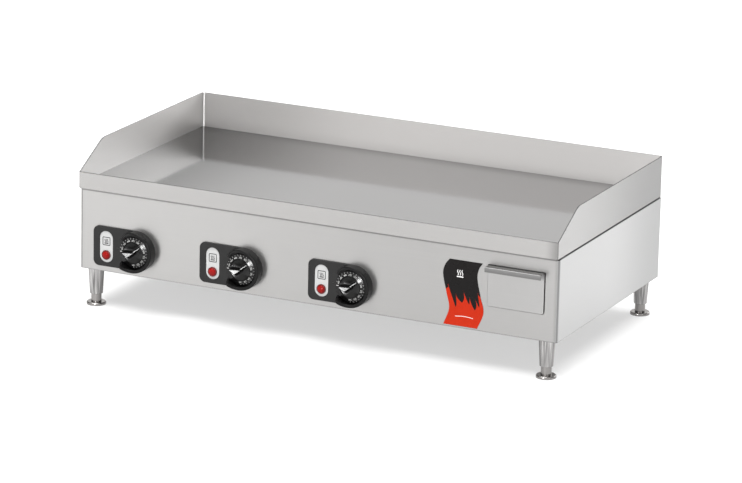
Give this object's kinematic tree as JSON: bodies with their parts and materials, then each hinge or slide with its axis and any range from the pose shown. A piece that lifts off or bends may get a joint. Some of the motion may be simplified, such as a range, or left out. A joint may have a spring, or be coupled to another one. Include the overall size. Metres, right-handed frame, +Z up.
{
  "type": "countertop flat top griddle",
  "caption": "Electric countertop griddle: polished plate in a three-sided splash guard, front grease trough and drawer, control knobs, levelling feet.",
  "frame": {"origin": "middle of the bounding box in plan, on the counter under the feet", "axes": "+Z up, +X to the operator's right, +Y to the back; the controls face -Y"},
  "size_m": [0.914, 0.5016, 0.287],
  "materials": {
    "brushed_stainless": "fine horizontal brushing, warm grey",
    "polished_plate": "polished steel cooking plate with faint lengthwise grind",
    "mill_stainless": "plain mill finish",
    "aluminised_steel": "dull aluminised sheet",
    "insulation_fibre": "pale mineral fibre",
    "element_sheath": "dark oxidised sheath",
    "zinc_steel": "zinc plated",
    "copper_tube": "drawn copper",
    "white_ceramic": "glazed ceramic",
    "black_plastic": "satin black moulding with white dial print",
    "white_label": "white film with a printed glyph",
    "red_lens": "translucent red moulding",
    "badge_print": "gloss print, black above orange-red flames",
    "silver_label": "blank satin plate",
    "wire_insulation": "woven glass sleeve",
    "satin_steel_leg": "satin, turned",
    "polished_foot": "polished"
  },
  "bodies": {
    "cabinet": {"back_splash": "brushed_stainless", "bezel_1": "black_plastic", "bezel_2": "black_plastic", "bezel_3": "black_plastic", "bottom_panel": "mill_stainless", "cable_gland": "black_plastic", "capillary_tubes": "copper_tube", "drawer_runner_left": "mill_stainless", "drawer_runner_right": "mill_stainless", "element_clamp_bars": "zinc_steel", "element_terminals": "white_ceramic", "front_apron": "brushed_stainless", "front_badge": "badge_print", "front_left_leg": "satin_steel_leg", "front_panel": "brushed_stainless", "front_right_leg": "satin_steel_leg", "gland_locknut": "black_plastic", "grease_trough": "brushed_stainless", "griddle_plate": "polished_plate", "ground_lug": "zinc_steel", "heat_shield": "aluminised_steel", "heating_element_1": "element_sheath", "heating_element_2": "element_sheath", "heating_element_3": "element_sheath", "indicator_labels": "white_label", "insulation_blanket": "insulation_fibre", "insulation_pan": "aluminised_steel", "left_side_panel": "brushed_stainless", "left_splash": "brushed_stainless", "leg_mounting_plates": "mill_stainless", "panel_screws": "zinc_steel", "pilot_lamp_bodies": "black_plastic", "pilot_lenses": "red_lens", "plate_gasket": "insulation_fibre", "plate_studs": "zinc_steel", "rating_plate": "silver_label", "rear_left_leg": "satin_steel_leg", "rear_panel": "mill_stainless", "rear_right_leg": "satin_steel_leg", "right_side_panel": "brushed_stainless", "right_splash": "brushed_stainless", "stud_nuts": "zinc_steel", "terminal_block": "white_ceramic", "thermostat_1": "zinc_steel", "thermostat_2": "zinc_steel", "thermostat_3": "zinc_steel", "wiring_harness": "wire_insulation"},
    "grease_drawer": {"drawer_pan": "mill_stainless", "drawer_front": "brushed_stainless"},
    "knob_1": {"knob_1": "black_plastic", "thermostat_shaft_1": "zinc_steel"},
    "knob_2": {"knob_2": "black_plastic", "thermostat_shaft_2": "zinc_steel"},
    "knob_3": {"knob_3": "black_plastic", "thermostat_shaft_3": "zinc_steel"},
    "front_left_foot": {"front_left_foot": "polished_foot"},
    "front_right_foot": {"front_right_foot": "polished_foot"},
    "rear_left_foot": {"rear_left_foot": "polished_foot"},
    "rear_right_foot": {"rear_right_foot": "polished_foot"}
  },
  "joints": [
    {"name": "knob_1_turn", "type": "hinge", "parent": "cabinet", "child": "knob_1", "pos_m": [-0.343, -0.22175, 0.1132], "axis": [0, 1, 0], "range_deg": [0, 345]},
    {"name": "knob_2_turn", "type": "hinge", "parent": "cabinet", "child": "knob_2", "pos_m": [-0.1325, -0.22175, 0.1132], "axis": [0, 1, 0], "range_deg": [0, 345]},
    {"name": "knob_3_turn", "type": "hinge", "parent": "cabinet", "child": "knob_3", "pos_m": [0.078, -0.22175, 0.1132], "axis": [0, 1, 0], "range_deg": [0, 345]},
    {"name": "grease_drawer_slide", "type": "slide", "parent": "cabinet", "child": "grease_drawer", "axis": [0, -1, 0], "range_m": [0, 0.34]},
    {"name": "front_left_foot_adjust", "type": "slide", "parent": "cabinet", "child": "front_left_foot", "axis": [0, 0, -1], "range_m": [-0.012, 0.015]},
    {"name": "front_right_foot_adjust", "type": "slide", "parent": "cabinet", "child": "front_right_foot", "axis": [0, 0, -1], "range_m": [-0.012, 0.015]},
    {"name": "rear_left_foot_adjust", "type": "slide", "parent": "cabinet", "child": "rear_left_foot", "axis": [0, 0, -1], "range_m": [-0.012, 0.015]},
    {"name": "rear_right_foot_adjust", "type": "slide", "parent": "cabinet", "child": "rear_right_foot", "axis": [0, 0, -1], "range_m": [-0.012, 0.015]}
  ]
}
